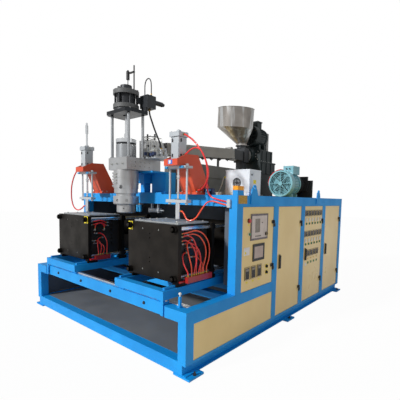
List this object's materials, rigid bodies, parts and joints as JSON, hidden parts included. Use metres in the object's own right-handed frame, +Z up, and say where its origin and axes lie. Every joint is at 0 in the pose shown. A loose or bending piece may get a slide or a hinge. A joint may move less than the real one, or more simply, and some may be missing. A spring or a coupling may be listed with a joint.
{
  "type": "two-station extrusion blow moulding machine",
  "caption": "Floor-standing extrusion blow moulding machine with shuttling mould stations, die head, extruder, hopper, blow pins and a cabinet with doors.",
  "frame": {"origin": "centre of the footprint, on the floor under the foot plates", "axes": "+X towards the side with the doors, +Y from the mould stations to the rear, +Z up"},
  "size_m": [3.106, 3.91, 3.2024],
  "materials": {
    "frame_blue": "gloss",
    "panel_tan": "gloss",
    "sheet_slate": "satin",
    "steel": "brushed",
    "dark_steel": "satin",
    "black_plate": "satin",
    "mould_steel": "machined",
    "grey_paint": "satin",
    "green_paint": "satin",
    "teal_paint": "satin",
    "orange_paint": "satin",
    "box_white": "satin",
    "aluminium": "satin",
    "bright_steel": "polished",
    "black_plastic": "matte",
    "red_plastic": "gloss",
    "green_plastic": "gloss",
    "red_manifold": "satin",
    "hose_orange": "gloss",
    "hose_red": "gloss"
  },
  "bodies": {
    "machine_frame": {"base_frame": "frame_blue", "cabinet_frame": "frame_blue", "inner_sheets": "sheet_slate", "outer_panels": "panel_tan", "shuttle_rails": "bright_steel", "head_support": "frame_blue", "head_block": "steel", "die_body": "steel", "die_ring": "steel", "die_bushing": "steel", "column_stand": "dark_steel", "push_cylinder": "dark_steel", "position_sensor": "black_plastic", "servo_valve": "black_plate", "valve_bank": "dark_steel", "extruder_barrel": "dark_steel", "barrel_cover": "grey_paint", "extruder_bed": "grey_paint", "feed_throat": "black_plate", "hopper": "steel", "gearbox": "green_paint", "extruder_motor": "green_paint", "belt_guard": "grey_paint", "pump_motor": "teal_paint", "pump_unit": "dark_steel", "control_box": "box_white", "blow_arms": "orange_paint", "blow_cylinders": "aluminium", "air_hoses": "hose_orange"},
    "ram": {"push_ram": "bright_steel"},
    "extruder_rotor": {"extruder_rotor": "dark_steel"},
    "extruder_screw": {"extruder_screw": "bright_steel"},
    "pump_rotor": {"pump_rotor": "dark_steel"},
    "door_1": {"door_1": "panel_tan"},
    "door_2": {"door_2": "panel_tan"},
    "door_3": {"door_3": "panel_tan"},
    "door_4": {"door_4": "panel_tan"},
    "handle_2": {"handle_2": "black_plastic"},
    "handle_3": {"handle_3": "black_plastic"},
    "handle_4": {"handle_4": "black_plastic"},
    "e_stop": {"e_stop": "red_plastic"},
    "start_button": {"start_button": "green_plastic"},
    "upper_selector": {"upper_selector": "black_plastic"},
    "lower_selector": {"lower_selector": "black_plastic"},
    "carriage_left": {"carriage_left": "frame_blue"},
    "carriage_right": {"carriage_right": "frame_blue"},
    "front_clamp_left": {"front_clamp_left": "black_plate", "mould_front_left": "mould_steel", "manifold_left": "red_manifold", "cooling_hoses_left": "hose_red"},
    "front_clamp_right": {"front_clamp_right": "black_plate", "mould_front_right": "mould_steel", "manifold_right": "red_manifold", "cooling_hoses_right": "hose_orange"},
    "rear_platen_left": {"rear_platen_left": "black_plate", "mould_rear_left": "mould_steel"},
    "rear_platen_right": {"rear_platen_right": "black_plate", "mould_rear_right": "mould_steel"},
    "blow_pin_left": {"blow_pin_left": "bright_steel"},
    "blow_pin_right": {"blow_pin_right": "bright_steel"}
  },
  "joints": [
    {"name": "left_shuttle", "type": "slide", "parent": "machine_frame", "child": "carriage_left", "axis": [1, 0, 0], "range_m": [0, 0.815]},
    {"name": "right_shuttle", "type": "slide", "parent": "machine_frame", "child": "carriage_right", "axis": [1, 0, 0], "range_m": [-0.815, 0]},
    {"name": "left_clamp_open", "type": "slide", "parent": "carriage_left", "child": "front_clamp_left", "axis": [0, -1, 0], "range_m": [0, 0.13]},
    {"name": "left_rear_platen_open", "type": "slide", "parent": "carriage_left", "child": "rear_platen_left", "axis": [0, 1, 0], "range_m": [0, 0.13]},
    {"name": "left_blow_pin_stroke", "type": "slide", "parent": "machine_frame", "child": "blow_pin_left", "axis": [0, 0, 1], "range_m": [-0.07, 0.07]},
    {"name": "right_clamp_open", "type": "slide", "parent": "carriage_right", "child": "front_clamp_right", "axis": [0, -1, 0], "range_m": [0, 0.13]},
    {"name": "right_rear_platen_open", "type": "slide", "parent": "carriage_right", "child": "rear_platen_right", "axis": [0, 1, 0], "range_m": [0, 0.13]},
    {"name": "right_blow_pin_stroke", "type": "slide", "parent": "machine_frame", "child": "blow_pin_right", "axis": [0, 0, 1], "range_m": [-0.07, 0.07]},
    {"name": "push_ram_stroke", "type": "slide", "parent": "machine_frame", "child": "ram", "axis": [0, 0, 1], "range_m": [0, 0.13]},
    {"name": "extruder_rotor_spin", "type": "hinge", "parent": "machine_frame", "child": "extruder_rotor", "pos_m": [0, 1.35, 2.765], "axis": [0, 1, 0], "continuous": true},
    {"name": "extruder_screw_spin", "type": "hinge", "parent": "machine_frame", "child": "extruder_screw", "pos_m": [0, -0.44, 2.278], "axis": [0, 0.9973, 0.0732], "continuous": true},
    {"name": "pump_rotor_spin", "type": "hinge", "parent": "machine_frame", "child": "pump_rotor", "pos_m": [0.68, 1.35, 1.88], "axis": [0, 1, 0], "continuous": true},
    {"name": "door_1_hinge", "type": "hinge", "parent": "machine_frame", "child": "door_1", "pos_m": [1.509, -0.473, 0.9], "axis": [0, 0, 1], "range_deg": [0, 110]},
    {"name": "door_2_hinge", "type": "hinge", "parent": "machine_frame", "child": "door_2", "pos_m": [1.509, 0.3, 0.9], "axis": [0, 0, 1], "range_deg": [0, 110]},
    {"name": "door_3_hinge", "type": "hinge", "parent": "machine_frame", "child": "door_3", "pos_m": [1.509, 1.073, 0.9], "axis": [0, 0, 1], "range_deg": [0, 110]},
    {"name": "door_4_hinge", "type": "hinge", "parent": "machine_frame", "child": "door_4", "pos_m": [1.509, 1.846, 0.9], "axis": [0, 0, 1], "range_deg": [0, 110]},
    {"name": "door_2_handle_turn", "type": "hinge", "parent": "door_2", "child": "handle_2", "pos_m": [1.5, -0.295, 0.89], "axis": [1, 0, 0], "range_deg": [0, 90]},
    {"name": "door_3_handle_turn", "type": "hinge", "parent": "door_3", "child": "handle_3", "pos_m": [1.5, 0.478, 0.89], "axis": [1, 0, 0], "range_deg": [0, 90]},
    {"name": "door_4_handle_turn", "type": "hinge", "parent": "door_4", "child": "handle_4", "pos_m": [1.5, 1.251, 0.89], "axis": [1, 0, 0], "range_deg": [0, 90]},
    {"name": "e_stop_press", "type": "slide", "parent": "door_1", "child": "e_stop", "axis": [-1, 0, 0], "range_m": [0, 0.005], "stiffness_N_per_m": 400},
    {"name": "start_button_press", "type": "slide", "parent": "door_1", "child": "start_button", "axis": [-1, 0, 0], "range_m": [0, 0.003], "stiffness_N_per_m": 400},
    {"name": "upper_selector_turn", "type": "hinge", "parent": "door_1", "child": "upper_selector", "pos_m": [1.5, -0.608, 0.815], "axis": [1, 0, 0], "range_deg": [-45, 45]},
    {"name": "lower_selector_turn", "type": "hinge", "parent": "door_1", "child": "lower_selector", "pos_m": [1.5, -0.606, 0.745], "axis": [1, 0, 0], "range_deg": [-45, 45]}
  ],
  "couplings": [
    {"joint": "left_rear_platen_open", "follows": "left_clamp_open", "ratio": 1},
    {"joint": "right_rear_platen_open", "follows": "right_clamp_open", "ratio": 1},
    {"joint": "extruder_screw_spin", "follows": "extruder_rotor_spin", "ratio": 0.0625}
  ]
}
